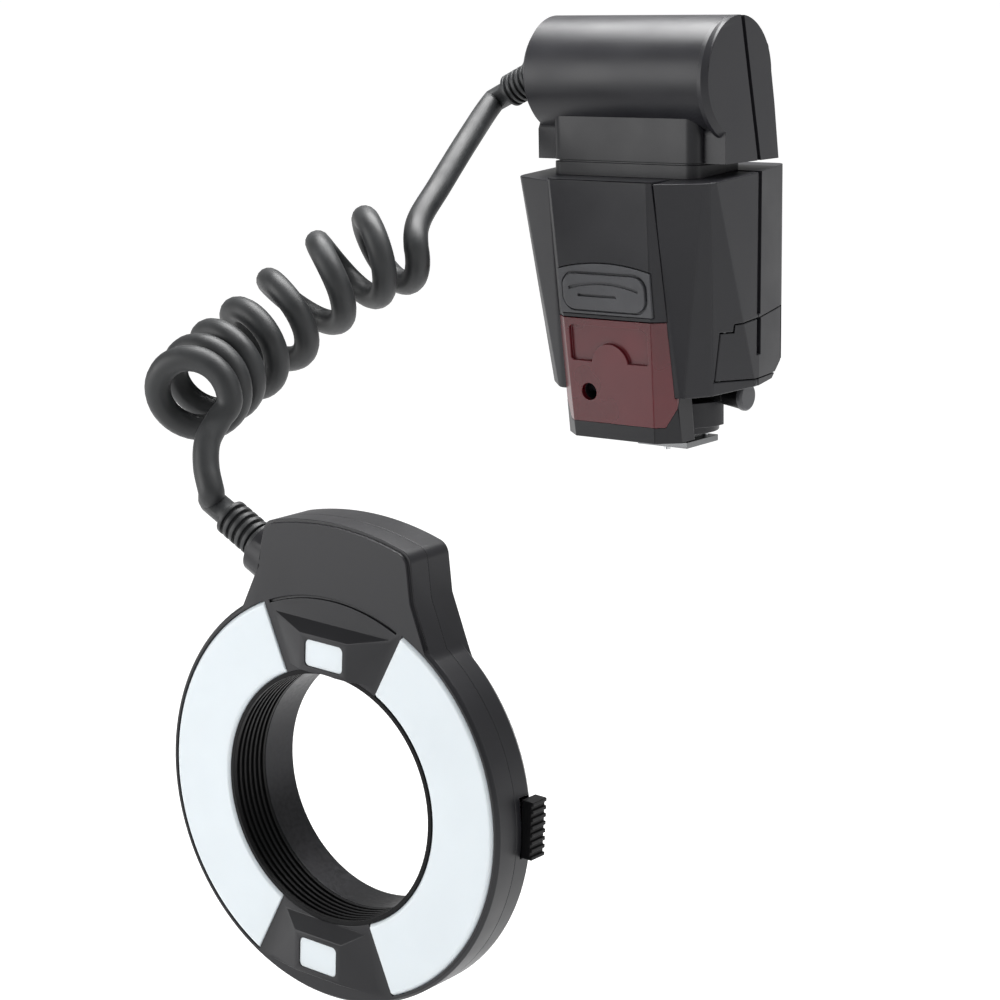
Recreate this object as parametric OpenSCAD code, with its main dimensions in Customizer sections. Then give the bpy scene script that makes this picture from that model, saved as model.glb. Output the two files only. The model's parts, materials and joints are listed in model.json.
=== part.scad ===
// Macro ring flash: controller on a shoe foot, curly cord, ring head on a lens adapter.
// Millimetres, +Z up, front towards -Y, origin under the middle of the shoe foot.

/* [Foot] */
// Width of the foot plate across the shoe
foot_w = 18.6; // [18:0.1:18.7]
// Length of the foot plate along the shoe
foot_l = 18; // [17:0.5:18]
// Thickness of the foot plate
foot_t = 2; // [1.8:0.05:2.05]
// Height of the gap for the shoe rails
rail_gap = 2.4; // [2.2:0.1:2.6]

/* [Controller] */
// Width of the body at its top front corners
body_w = 70.6; // [69:0.2:72]
// Distance from the foot to the front of the spine at its top
body_front = 43.5; // [42:0.5:45]
// Distance from the foot to the back panel
body_back = 10; // [9:0.5:11]
// Height of the body floor above the foot
body_floor = 20; // [19.5:0.25:20.5]
// Height of the roof over the foot
roof_z = 87.4; // [87:0.2:88.4]
// Slope of the roof, in degrees
roof_tilt = 3.5; // [3:0.5:4]
// Width of the front spine at its top
spine_w = 34.8; // [33:0.2:36]
// Wall thickness of the housings
wall = 2.2; // [2:0.1:2.4]
// Place of the parting line between front and back shell
split_y = -8.8; // [-9.5:0.1:-8]
// Travel of a back button
key_travel = 0.6; // [0.4:0.1:0.6]

/* [Head] */
// Width of the head over its cheeks
head_w = 68; // [66:0.5:70]
// Radius of the head drum
drum_r = 17.5; // [17:0.1:17.8]
// Height of the drum axis over the foot
drum_z = 115.7; // [115.2:0.1:116.2]
// Diameter of the flash capacitor
cap_d = 25; // [22:0.5:26]

/* [Ring] */
// Distance from the foot to the back of the ring
ring_y = 154.6; // [150:0.5:160]
// Depth of the lens axis below the foot
ring_z = 71.1; // [68:0.5:75]
// Turn of the ring on the lens, in degrees
ring_turn = 3.7; // [0:0.1:6]
// Outer radius of the ring case
ring_r = 57.6; // [57:0.1:58.5]
// Depth of the ring case
ring_d = 18; // [17.5:0.25:19]
// Inner radius of the lens opening
bore_r = 34.4; // [33.5:0.1:34.6]
// Half angle of a bridge between the diffusers
bridge_a = 25.5; // [23:0.5:27]
// Press travel of a release button
press = 2; // [1.8:0.1:2]
// Diameter of the adapter thread
thread_d = 77; // [72:1:77]

/* [Cord] */
// Diameter of the cord
cord_d = 7.4; // [6.5:0.1:7.6]
// Mean radius of a curl
curl_r = 11.3; // [11:0.1:11.6]
// Number of curls
curls = 7; // [6:1:7]

/* [Hidden] */
$fn = 48;
eps = 0.01;
base_z = foot_t + rail_gap;
// Lean of the spine's face from its top to a low mark
spine_lean = 6.5;
spine_low = 25;
spine_top = 85.5;
spine_slope = spine_lean / (spine_top - spine_low);
spine_a = atan(spine_slope);
// Underside of the body: nearly level, then a chamfer up to the back panel
under_y = 11.5 - body_front;
under_a = 5;
heel_y = body_back - 9;
heel_z = body_floor + 2.8;
heel_a = 37;
drum_y = -17.75;
head_floor = 90;
// Right cheek: a disc a little off the drum's axis, proud at the front and below
cheek_r = drum_r + 1;
cheek_t = 3;
cheek_at = [drum_y - 0.75, drum_z - 1];
end_round = 1.6;
// Parting line of the head, low and high end
head_cut = [-7.6, 92.6];
head_cut_a = 12.5;
neck_w = 53;
neck_front = -30.2;
neck_back = -4;
neck_seam = roof_z + 2.2;
gland_r = 5.2;
head_gland = [-head_w / 2, drum_y - 7.25, drum_z - 0.2];
gland_tilt = 25;
gland_l = 12;
// Ring levels along its axis, from the back
seam_z = 10;
deck_z = 5.2;
deck_t = 1.2;
tube_r = bore_r + 1.2;
lit_r = ring_r - 1.6;
pocket_z = 13.5;
collar_r = 40;
claw_z = [1.7, 3.1];
claw_t = 1.1;
claw_in = collar_r + 3;
claw_out = ring_r - 8.6;
button_x = ring_r - 0.6;
button_y = [-5, 11];
button_t = 3.8;
// Claw tip: hooked under the collar at rest, clear of it when pressed
claw_tip = collar_r + 0.7 - press;
spring_seat = ring_r - 3.4;
spring_y = -9;
spring_l = 2.4 + press;
lug_w = 3.2;
hood_top = ring_r + 18.7;
hood_post = [12, ring_r + 8.4];
boss_a = 155;
boss_at = [33.6 - ring_r, ring_r + 2.2];
boss_l = 8;
boss_r = 8;
ring_gland_l = 14;
post_a = [30, 90, 150, 210, 270, 330];
post_r = ring_r - 4.7;
// Lamp windows on the raised bridges: across, up, width, height
bridge_h = 3.2;
top_lamp = [0, tube_r + 5, 13, 7.4];
low_lamp = [0, -tube_r - 9.6, 13, 8.6];
// Control board face, and the room left under a pressed button
key_y = body_back - 7;
key_rest = 0.3;
key_flange = 1.4;
dome_h = body_back - wall - key_flange - key_y - 1.6 - key_travel - key_rest;
key_rows = [56, 47];
key_x = [6.3, 18.6];
test_x = -18.8;
test_r = 4;
board_z = [42.6, 85];
// Board posts on the back shell: across, height, radius
board_posts = [[-12.6, 51.5, 1.1], [12.6, 51.5, 1.1], [-22, 83, 2], [22, 83, 2]];
lever_z = 15;
lever_t = 3.4;
// Swing of the lever from locked to open
lever_swing = 35;
pivot_r = 3.6;
// Red window: lower edge, wall, lamp hole, and the slanted parting with the foot base
window_z = 11;
window_top = 43.3;
window_t = 1.8;
window_back = -33.2;
window_a = 18;
hole_at = [-8.4, 20.6];
hole_r = 2.7;
knob_r = 4.5;
knob_x = [17.2, 24.2];
cap_t = 1.9;
// Grey panel on the spine, up its face
panel_w = 33.6;
panel_y = [45, 60.9];
panel_arch = 64;
tongue_y = 52;
// Door hinge, set in under the flank and leaning with it
hinge_depth = 1.9;
hinge_at = [body_w / 2 - 4.1 - hinge_depth, -22.5, body_floor + 5.2];
door_tilt = 7.5;
// Door along its hinge: length, height at the hinge, rise of its upper edge
door_l = body_back - 2.6 - hinge_at[1];
door_h = 16.8;
door_slope = 5.3;
door_gap = 0.3;
barrel_r = 2.8;
barrel_h = 14.6;
pin_r = 0.7;
pin_end = 1.4;
// Battery pack: left, front and low corner, then its size
pack_at = [-body_w / 2 + 11.8, -18.5, 27.5];
pack_size = [body_w - 22.1, 20.5, 13];
screw_at = [spine_w / 2 + 6.1, under_y + 5.5];

top_sec = [[spine_w / 2 + 1.1, 0.6 - body_front], [body_w / 2, 7 - body_front],
    [body_w / 2 + 0.3, split_y], [body_w / 2 - 2.5, body_back]];
low_sec = [[spine_w / 2 + 5.2, under_y], [body_w / 2 - 6.2, 17.8 - body_front],
    [body_w / 2 - 0.4, split_y], [body_w / 2 - 2.8, body_back]];
nose_top = [[spine_w / 2, -body_front], [spine_w / 2 + 1.2, 0.8 - body_front], [spine_w / 2 + 1.2, -28]];
nose_low = [[spine_w / 2 - 2.8, spine_lean + 2 - body_front], [spine_w / 2 + 3.4, 14 - body_front],
    [spine_w / 2 + 3.4, -22]];

function both(p) = concat(p, [for (i = [len(p) - 1:-1:0]) [-p[i][0], p[i][1]]]);
function unit(v) = v / norm(v);
// A point of the ring's own frame, x right, y up, z to the front, in the part's frame
function ring_pt(p) = [p[0] * cos(ring_turn) + p[1] * sin(ring_turn), -ring_y - p[2],
    -p[0] * sin(ring_turn) + p[1] * cos(ring_turn) - ring_z];

module section(p, g, r) {
    offset(r = r, $fn = 32) offset(delta = -r - g) polygon(both(p));
}

module at_ring() {
    translate([0, -ring_y, -ring_z]) rotate([90, 0, 0]) rotate([0, 0, -ring_turn]) children();
}

// Everything in front of, or behind, the body's parting plane
module ahead(y) {
    translate([-80, y - 120, -20]) cube([160, 120, 200]);
}

// Controller body

module body_form(g) {
    intersection() {
        hull() {
            translate([0, 0, body_floor - 1 + g]) linear_extrude(eps) section(low_sec, g, 3);
            translate([0, 0, roof_z + 3 - g]) linear_extrude(eps) section(top_sec, g, 3);
        }
        translate([0, 0, roof_z - g]) rotate([roof_tilt, 0, 0])
            translate([-60, -80, -120]) cube([120, 160, 120]);
        translate([0, under_y, body_floor + g]) rotate([under_a, 0, 0])
            translate([-60, -60, 0]) cube([120, 160, 120]);
        translate([0, heel_y, heel_z + 1.25 * g]) rotate([heel_a, 0, 0])
            translate([-60, -100, 0]) cube([120, 200, 200]);
    }
}

module nose_form(g) {
    hull() {
        translate([0, 0, 6 + g]) linear_extrude(eps) section(nose_low, g, 0.8);
        translate([0, 0, spine_top - g]) linear_extrude(eps) section(nose_top, g, 0.8);
    }
}

module slab(z0, z1) {
    translate([-80, -80, z0]) cube([160, 120, z1 - z0]);
}

// Frame on the door's hinge: z along its leaning axis, from the foot of the barrel
module at_hinge() {
    translate(hinge_at) rotate([0, door_tilt, 0]) children();
}

module on_hinge(r, z0, z1) {
    at_hinge() translate([0, 0, z0]) cylinder(r = r, h = z1 - z0);
}

// Where the door fills the side wall: a flat zone, and a barrel that it turns in
module door_zone(g) {
    difference() {
        at_hinge() intersection() {
            translate([-0.6 - g, 0, -g]) cube([20, door_l + 2 * g, 30]);
            translate([-2, 0, door_h + g]) rotate([door_slope, 0, 0])
                translate([0, -60, -60]) cube([60, 120, 60]);
        }
        on_hinge(barrel_r + 0.4 - 1.2 * g, barrel_h + g, 60);
    }
    on_hinge(barrel_r + 1.2 * g, -g, barrel_h + g);
}

module groove_band(y) {
    difference() {
        translate([-80, y - 1, hinge_at[2] + door_h + 2]) cube([160, 2, 80]);
        body_form(1.1);
    }
}

module key_hole(x, z, w, h) {
    translate([x - w / 2 - 0.25, body_back - 5, z - h / 2 - 0.25]) cube([w + 0.5, 10, h + 0.5]);
}

module body_front_shell() color("#3a3b3d") {
    difference() {
        intersection() {
            body_form(0);
            ahead(split_y);
        }
        difference() {
            body_form(wall);
            on_hinge(2.2, -6, -door_gap);
            on_hinge(2.2, barrel_h + door_gap, barrel_h + door_gap + pin_end + 1);
        }
        on_hinge(pin_r + 0.05, -pin_end - 0.1, barrel_h + pin_end + 0.1);
        difference() {
            intersection() {
                nose_form(0);
                slab(window_top + 0.2, 90);
            }
            body_form(1.2);
        }
        groove_band(split_y);
        door_zone(door_gap);
        for (s = [-1, 1]) translate([s * screw_at[0], screw_at[1], body_floor - 1]) {
            cylinder(r = 2, h = 2.4);
            cylinder(r = 1, h = 6);
        }
    }
}

module body_back_shell() color("#3a3b3d") {
    difference() {
        union() {
            difference() {
                body_form(0);
                body_form(wall);
            }
            for (p = board_posts) translate([p[0], key_y + 1.6, p[1]]) rotate([-90, 0, 0])
                cylinder(r = p[2], h = body_back - key_y - 1.6 - wall / 2);
        }
        ahead(split_y);
        groove_band(split_y);
        door_zone(door_gap);
        translate([-19, 0, 62]) cube([38, 20, 21]);
        for (x = key_x, s = [-1, 1]) key_hole(s * x, key_rows[0], 8, 4.6);
        for (x = key_x) key_hole(x, key_rows[1], 8, 5.6);
        translate([test_x, body_back - 5, key_rows[1]]) rotate([-90, 0, 0])
            cylinder(r = test_r + 0.25, h = 10);
        key_hole(-6, key_rows[1], 13, 4);
    }
}

module front_spine() color("#404143") {
    difference() {
        intersection() {
            nose_form(0);
            slab(window_top + 0.2, 90);
        }
        body_form(1.2);
        spine_frame() translate([0, 0, -1]) linear_extrude(3) panel2d(0);
    }
}

// Frame on the spine's front face: x across, y up the face, z out of it
module spine_frame() {
    translate([0, -body_front + spine_lean + spine_low * spine_slope, 0]) rotate([90 + spine_a, 0, 0])
        children();
}

// Outline of the grey panel: straight sides under an arched top
module panel2d(g) {
    intersection() {
        translate([-panel_w / 2 + g, panel_y[0] + g])
            square([panel_w - 2 * g, panel_y[1] - panel_y[0]]);
        translate([0, panel_y[1] - panel_arch]) circle(r = panel_arch - g, $fn = 200);
    }
}

module grey_panel() color("#6a6c6f") {
    spine_frame() difference() {
        union() {
            translate([0, 0, -1]) linear_extrude(1.3) panel2d(0.15);
            translate([0, tongue_y, -1]) linear_extrude(2) round_rect(29.6, 10.8, 4);
        }
        translate([0, tongue_y, -0.6]) linear_extrude(3) difference() {
            round_rect(31, 12.2, 4.7);
            round_rect(29.6, 10.8, 4);
        }
        intersection() {
            translate([0, tongue_y - 40, 0.3]) difference() {
                cylinder(r = 43.4, h = 2, $fn = 160);
                translate([0, 0, -1]) cylinder(r = 42.5, h = 4, $fn = 160);
            }
            translate([-12.6, tongue_y - 6, -1]) cube([25.2, 12, 5]);
        }
        translate([-9.4, tongue_y - 1.4, 0]) cube([14, 0.8, 2]);
    }
}

// Everything behind the slanted parting of the window
module behind_window(d) {
    translate([0, window_back + d, window_z]) rotate([-window_a, 0, 0])
        translate([-60, 0, -60]) cube([120, 80, 140]);
}

module red_window() color("#5c1d24") {
    difference() {
        intersection() {
            nose_form(0);
            slab(window_z, window_top);
        }
        nose_form(window_t);
        body_form(0);
        behind_window(0);
        spine_frame() difference() {
            translate([0, 35.8, -1.2]) linear_extrude(4) round_rect(28.4, 11, 1.2);
            translate([0, 29.3, -2]) cylinder(r = 6.7, h = 6);
        }
        spine_frame() translate([hole_at[0], hole_at[1], -4]) cylinder(r = hole_r, h = 8);
    }
}

module focus_lamp() color("#d9d4cc") {
    difference() {
        translate([0, -30, 33.5]) rotate([90, 0, 0]) cylinder(r = 2.2, h = 5.6);
        body_form(0);
    }
}

module battery_door() color("#3a3b3d") {
    difference() {
        intersection() {
            door_zone(0);
            body_form(0);
        }
        difference() {
            body_form(wall);
            on_hinge(barrel_r, -5, 60);
        }
        on_hinge(pin_r + 0.05, -5, 90);
        translate([body_w / 2 - 2.2, split_y - 1, 31.5]) cube([5, 2.4, 20]);
    }
}

module door_pin() color("#b8babd") {
    on_hinge(pin_r, -pin_end, barrel_h + pin_end);
}

module battery_pack() color("#2c3a4a") {
    translate(pack_at) cube(pack_size);
}

module battery_tray() color("#27282a") {
    intersection() {
        difference() {
            translate([pack_at[0] - 1.5, pack_at[1] - 2, body_floor])
                cube([pack_size[0] + 1.5, pack_size[1] + 2.6, pack_at[2] + 3.5 - body_floor]);
            translate(pack_at) cube(pack_size + [10, 0, 0]);
        }
        body_form(wall);
    }
}

module control_board() color("#1f5a3c") {
    translate([-24.5, key_y, board_z[0]]) cube([49, 1.6, board_z[1] - board_z[0]]);
    for (x = key_x, s = [-1, 1]) translate([s * x, key_y + 1.6, key_rows[0]]) rotate([-90, 0, 0])
        cylinder(r = 1.7, h = dome_h);
    for (x = concat(key_x, [test_x])) translate([x, key_y + 1.6, key_rows[1]]) rotate([-90, 0, 0])
        cylinder(r = 1.7, h = dome_h);
}

module display_panel() color("#8d9a86") {
    translate([-19, key_y + 1.6, 62]) cube([38, body_back - wall - key_y - 1.6, 21]);
}

module display_window() color("#22282c") {
    translate([-19, body_back - wall, 62]) cube([38, wall, 21]);
}

// A back button: cap through the wall with a retaining flange inside
module key(x, z, w, h, proud) {
    translate([x - w / 2, body_back - wall - 0.6, z - h / 2]) cube([w, wall + 0.6 + proud, h]);
    translate([x - w / 2 - 0.9, body_back - wall - key_flange, z - h / 2 - 0.9])
        cube([w + 1.8, 0.8, h + 1.8]);
}

module light_button() color("#5a5c60") {
    key(-key_x[1], key_rows[0], 8, 4.6, 0.9);
}

module mode_button() color("#5a5c60") {
    key(-key_x[0], key_rows[0], 8, 4.6, 0.9);
}

module select_button() color("#5a5c60") {
    key(key_x[0], key_rows[0], 8, 4.6, 0.9);
}

module lamp_button() color("#5a5c60") {
    key(key_x[1], key_rows[0], 8, 4.6, 0.9);
}

module minus_button() color("#5a5c60") {
    key(key_x[0], key_rows[1], 8, 5.6, 0.9);
}

module plus_button() color("#5a5c60") {
    key(key_x[1], key_rows[1], 8, 5.6, 0.9);
}

module test_button() color("#c8642a") {
    translate([test_x, body_back - wall - 0.6, key_rows[1]]) rotate([-90, 0, 0])
        cylinder(r = test_r, h = wall + 1.3);
    translate([test_x, body_back - wall - key_flange, key_rows[1]]) rotate([-90, 0, 0])
        cylinder(r = test_r + 0.7, h = 0.8);
}

module power_switch() color("#6a6c70") {
    translate([-12, body_back - wall - 0.4, key_rows[1] - 1.8]) cube([6, wall + 1.6, 3.6]);
    translate([-13.2, body_back - wall - key_flange, key_rows[1] - 3]) cube([8.2, 1, 6]);
}

// Head

module head_side(g) {
    offset(delta = -g) polygon([[-26, head_floor], [-26, 99], [drum_y, drum_z],
        [drum_y, drum_z + drum_r - 0.3], [-11.3, 131.2], [-5, 127.5], [-2, 123.8], [-0.8, 119],
        [1.6, 106.7], [4.1, head_floor]]);
}

module along_x(w) {
    translate([-w / 2, 0, 0]) rotate([90, 0, 90]) linear_extrude(w) children();
}

module head_form(g) {
    along_x(head_w - 2 * g) head_side(g);
    translate([-head_w / 2 + g, drum_y, drum_z]) rotate([0, 90, 0]) {
        cylinder(r1 = drum_r - end_round - g, r2 = drum_r - g, h = end_round, $fn = 96);
        translate([0, 0, end_round]) cylinder(r = drum_r - g, h = head_w - 2 * g - end_round, $fn = 96);
    }
    translate([head_w / 2 - cheek_t, cheek_at[0], cheek_at[1]]) rotate([0, 90, 0]) {
        cylinder(r = cheek_r - g, h = cheek_t - end_round, $fn = 96);
        translate([0, 0, cheek_t - end_round])
            cylinder(r1 = cheek_r - g, r2 = cheek_r - end_round - g, h = end_round - g, $fn = 96);
    }
}

module head_ahead(d) {
    translate([0, head_cut[0] + d, head_cut[1]]) rotate([head_cut_a, 0, 0])
        translate([-80, -120, -60]) cube([160, 120, 160]);
}

module head_groove() {
    difference() {
        translate([0, head_cut[0], head_cut[1]]) rotate([head_cut_a, 0, 0])
            translate([-80, -0.9, -60]) cube([160, 1.8, 160]);
        head_form(1.1);
    }
}

module head_ribs() {
    for (s = [-1, 1]) intersection() {
        translate([s * 20 - 1, -60, 90]) cube([2, 80, 50]);
        head_form(wall - 0.4);
    }
}

module head_hollow() {
    difference() {
        head_form(wall);
        head_ribs();
    }
    translate([-24, drum_y, drum_z]) rotate([0, 90, 0]) cylinder(d = cap_d, h = 48);
}

module head_front_shell() color("#3c3d3f") {
    difference() {
        intersection() {
            head_form(0);
            head_ahead(0);
        }
        head_hollow();
        head_groove();
        translate(head_gland) rotate([0, 90, 0]) cylinder(r = 4, h = 8, center = true);
    }
}

module head_back_shell() color("#3c3d3f") {
    difference() {
        head_form(0);
        head_ahead(0);
        head_hollow();
        head_groove();
    }
}

module neck_collar() color("#343537") {
    difference() {
        intersection() {
            translate([0, 0, 80]) linear_extrude(30) neck2d(0);
            translate([0, 0, roof_z]) rotate([roof_tilt, 0, 0]) translate([-60, -80, 0]) cube([120, 160, 60]);
        }
        head_form(0);
        translate([0, 0, neck_seam]) linear_extrude(0.6) difference() {
            neck2d(-1);
            neck2d(0.8);
        }
    }
}

module neck2d(g) {
    translate([0, (neck_front + neck_back) / 2])
        round_rect(neck_w - 2 * g, neck_back - neck_front - 2 * g, 4);
}

module flash_capacitor() color("#26282c") {
    translate([-24, drum_y, drum_z]) rotate([0, 90, 0]) cylinder(d = cap_d, h = 48);
}

// A ribbed strain relief along +Z, from its seat at z = 0
module gland(l, ribs) {
    translate([0, 0, -4]) cylinder(r = 4, h = 4);
    pitch = (l - 2) / ribs;
    cylinder(r = gland_r - 1.1, h = l);
    cylinder(r = gland_r + 0.7, h = 2);
    for (i = [0:ribs - 1]) translate([0, 0, 2 + i * pitch + pitch * 0.45])
        cylinder(r = gland_r, h = pitch * 0.55);
}

module cord_gland_head() color("#232425") {
    difference() {
        translate(head_gland) rotate([0, -90 - gland_tilt, 0]) gland(gland_l, 5);
        translate([-head_w / 2, -60, 80]) cube([40, 80, 60]);
    }
    translate(head_gland) rotate([0, 90, 0]) cylinder(r = 4, h = 3.2);
}

// Foot

// Swing of the lever in its slot, seen from above
module lever_slot() {
    edge = 3.8;
    reach = 40;
    far = reach * [cos(lever_swing), -sin(lever_swing)] - edge * [sin(lever_swing), cos(lever_swing)];
    near = -edge * [sin(lever_swing), cos(lever_swing)];
    translate([0, 0, lever_z - 0.2]) linear_extrude(lever_t + 0.4) difference() {
        union() {
            circle(r = 6.3);
            polygon([[0, edge], [reach, edge], [reach, far[1]], far, near]);
        }
        circle(r = pivot_r);
    }
}

module foot_base() color("#303133") {
    difference() {
        union() {
            difference() {
                intersection() {
                    nose_form(0);
                    slab(0, body_floor + 3);
                }
                difference() {
                    translate([-40, -80, window_z]) cube([80, 80, 40]);
                    nose_form(window_t);
                    behind_window(0);
                }
            }
            translate([-8.5, -27, 7]) cube([17, 22, body_floor]);
            intersection() {
                translate([0, 0, 7]) cylinder(r = 16.5, h = body_floor);
                translate([-30, -30, 0]) cube([60, 30 + heel_y, 60]);
            }
            translate([0, 0, base_z]) cylinder(r = 13, h = 10);
        }
        lever_slot();
        body_form(0);
        spine_frame() translate([hole_at[0], hole_at[1], -7]) cylinder(r = hole_r, h = 8);
        translate([0, -6.2, 0]) cylinder(r = 1.15, h = 14);
        for (p = contact_at) translate([p[0], p[1], 0]) cylinder(r = 1.2, h = 8);
        for (x = [-6.6, 6.6], y = [-5.5, 6]) translate([x, y, 0]) cylinder(r = 0.9, h = 9);
    }
}

contact_at = [[0, 0], [-3.6, 4.6], [3.6, 4.6], [-3.6, -3.4], [3.6, -3.4]];

module shoe_foot() color("#8f9296") {
    difference() {
        union() {
            translate([-foot_w / 2, -foot_l / 2, 0]) cube([foot_w, foot_l, foot_t]);
            translate([-6, -foot_l / 2 + 0.5, 0]) cube([12, foot_l - 1, base_z]);
            for (x = [-6.6, 6.6]) translate([x, 0, 0]) intersection() {
                translate([-2, -8, 0]) cube([4, 16, base_z]);
                translate([-x - 6.2, -9, 0]) cube([12.4, 18, base_z]);
            }
        }
        translate([0, -6.2, -1]) cylinder(r = 1.15, h = 10);
        for (p = contact_at) translate([p[0], p[1], -1]) cylinder(r = 1.2, h = 10);
        for (x = [-6.6, 6.6], y = [-5.5, 6]) translate([x, y, -1]) {
            cylinder(r = 1.7, h = 1.8);
            cylinder(r = 0.9, h = 10);
        }
    }
}

module foot_screws() color("#b8babd") {
    for (x = [-6.6, 6.6], y = [-5.5, 6]) translate([x, y, 0.1]) {
        cylinder(r = 1.7, h = 0.7);
        cylinder(r = 0.9, h = 8.5);
    }
}

module contact_pins() color("#c9a24a") {
    for (p = contact_at) translate([p[0], p[1], -0.5]) cylinder(r = 1.1, h = 7.5);
}

module lock_pin() color("#c0c2c5") {
    translate([0, -6.2, -1.2]) cylinder(r = 1.05, h = 12.5);
}

module lock_lever() color("#1d1e20") {
    difference() {
        union() {
            translate([0, 0, lever_z]) cylinder(r = 6, h = lever_t);
            translate([0, -3.5, lever_z]) cube([18, 7, lever_t]);
            translate([knob_x[0], 0, lever_z + lever_t / 2]) rotate([0, 90, 0])
                cylinder(r1 = knob_r - 1.4, r2 = knob_r - 0.3, h = knob_x[1] - knob_x[0]);
        }
        translate([0, 0, lever_z - 1]) cylinder(r = pivot_r + 0.05, h = lever_t + 2);
    }
}

module knob_cap() color("#77797c") {
    translate([knob_x[1], 0, lever_z + lever_t / 2]) rotate([0, 90, 0]) {
        cylinder(r = knob_r, h = cap_t - 0.6);
        translate([0, 0, cap_t - 0.6]) cylinder(r1 = knob_r, r2 = knob_r - 0.6, h = 0.6);
    }
}

module housing_screws() color("#2a2b2d") {
    for (s = [-1, 1]) translate([s * screw_at[0], screw_at[1], body_floor + 0.5]) {
        cylinder(r = 2, h = 0.9);
        cylinder(r = 1, h = 4.2);
    }
}

// Ring head

module hood2d(g) {
    offset(r = 4, $fn = 48) offset(delta = -4 - g) intersection() {
        polygon(both([[ring_r - 16.6, 30], [ring_r - 24.3, 46], [ring_r - 30.4, ring_r + 2.4],
            [ring_r - 33.6, ring_r + 22.4]]));
        translate([0, hood_top - 87]) circle(r = 87, $fn = 240);
    }
}

module sector(r0, r1, z0, z1, a0, a1) {
    rotate([0, 0, a0]) rotate_extrude(angle = a1 - a0, $fn = 144)
        translate([r0, z0]) square([r1 - r0, z1 - z0]);
}

module round_rect(w, h, r) {
    translate([-w / 2 + r, -h / 2]) square([w - 2 * r, h]);
    translate([-w / 2, -h / 2 + r]) square([w, h - 2 * r]);
    for (x = [-1, 1], y = [-1, 1]) translate([x * (w / 2 - r), y * (h / 2 - r)]) circle(r = r, $fn = 24);
}

module boss() {
    translate([boss_at[0], boss_at[1], seam_z]) rotate([0, 0, boss_a]) rotate([0, 90, 0])
        cylinder(r = boss_r, h = boss_l);
}

module boss_bore() {
    translate([boss_at[0], boss_at[1], seam_z]) rotate([0, 0, boss_a]) rotate([0, 90, 0])
        translate([0, 0, boss_l - 4]) cylinder(r = 4, h = 9);
}

// A raised bridge round a lamp window: broad foot, narrow flat top
module bridge(p, w0, w1, y0, y1) {
    hull() {
        translate([0, 0, ring_d - 0.5]) linear_extrude(0.1)
            polygon(both([[w0 / 2, y0], [w1 / 2, y1]]));
        translate([-p[2] / 2 - 1.8, p[1] - p[3] / 2 - 1.5, ring_d + bridge_h - 0.1])
            cube([p[2] + 3.6, p[3] + 3, 0.1]);
    }
}

module ring_front_shell() color("#333436") {
    at_ring() difference() {
        union() {
            translate([0, 0, seam_z]) cylinder(r = ring_r, h = ring_d - seam_z - 1, $fn = 160);
            translate([0, 0, ring_d - 1]) cylinder(r1 = ring_r, r2 = ring_r - 0.8, h = 1, $fn = 160);
            translate([0, 0, seam_z]) linear_extrude(ring_d - seam_z - 1) hood2d(0);
            translate([0, 0, ring_d - 1.1]) linear_extrude(1.1) hood2d(0.9);
            bridge(top_lamp, 30, 42, tube_r - 0.5, lit_r - 7);
            mirror([0, 1, 0])
                bridge([0, -low_lamp[1], low_lamp[2], low_lamp[3]], 30, 40, tube_r - 0.5, lit_r - 4);
            intersection() {
                boss();
                translate([-80, 0, seam_z]) cube([160, 90, 20]);
            }
        }
        sector(lit_r - 0.9, lit_r - 0.1, ring_d - 0.8, ring_d + 1, 92 - bridge_a, 88 + bridge_a);
        translate([0, 0, seam_z - 1]) cylinder(r = tube_r, h = 30, $fn = 160);
        for (a = [bridge_a - 90, bridge_a + 90])
            sector(tube_r - 1, lit_r, seam_z - 1, ring_d + 1, a, a + 180 - 2 * bridge_a);
        sector(tube_r - 1, lit_r - 0.6, seam_z - 1, pocket_z, 0, 360);
        for (p = [top_lamp, low_lamp]) translate([p[0], p[1], pocket_z - 1])
            linear_extrude(9) round_rect(p[2], p[3], 1.4);
        translate([0, 0, seam_z - 1]) linear_extrude(ring_d - seam_z - 1.2) difference() {
            hood2d(2.2);
            circle(r = ring_r, $fn = 160);
        }
        boss_bore();
    }
}

module ring_back_shell() color("#333436") {
    at_ring() difference() {
        union() {
            cylinder(r1 = ring_r - 3, r2 = ring_r, h = 4, $fn = 160);
            translate([0, 0, 4]) cylinder(r = ring_r, h = seam_z - 4, $fn = 160);
            translate([0, 0, 1]) linear_extrude(seam_z - 1) hood2d(0);
            linear_extrude(1.1) hood2d(0.9);
            intersection() {
                boss();
                translate([-80, 0, 0]) cube([160, 90, seam_z]);
            }
        }
        difference() {
            translate([0, 0, 1.4]) cylinder(r = lit_r - 0.6, h = 20, $fn = 160);
            for (a = post_a) rotate([0, 0, a]) translate([post_r, 0, 0]) cylinder(r = 1.9, h = deck_z);
            for (s = [-1, 1]) translate([s * (spring_seat + 0.8) - 0.8, spring_y - 2, 0])
                cube([1.6, 4, deck_z - 0.2]);
        }
        translate([0, 0, 1.6]) linear_extrude(20) difference() {
            hood2d(2.2);
            circle(r = ring_r, $fn = 160);
            for (s = [-1, 1]) translate([s * hood_post[0], hood_post[1]]) circle(r = 2);
        }
        for (s = [-1, 1]) translate([s * hood_post[0], hood_post[1], 5]) cylinder(r = 3, h = 9);
        translate([0, 0, -1]) cylinder(r = collar_r + 0.3, h = 5, $fn = 160);
        for (s = [0, 1]) mirror([s, 0, 0]) translate([button_x - 5 - press, button_y[0] - 0.3, 1.4])
            cube([12, button_y[1] - button_y[0] + 0.6, 6.5]);
        for (a = post_a) rotate([0, 0, a]) translate([post_r, 0, -1]) {
            cylinder(r = 1.8, h = 2);
            cylinder(r = 0.9, h = 5.5);
        }
        boss_bore();
    }
}

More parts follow.
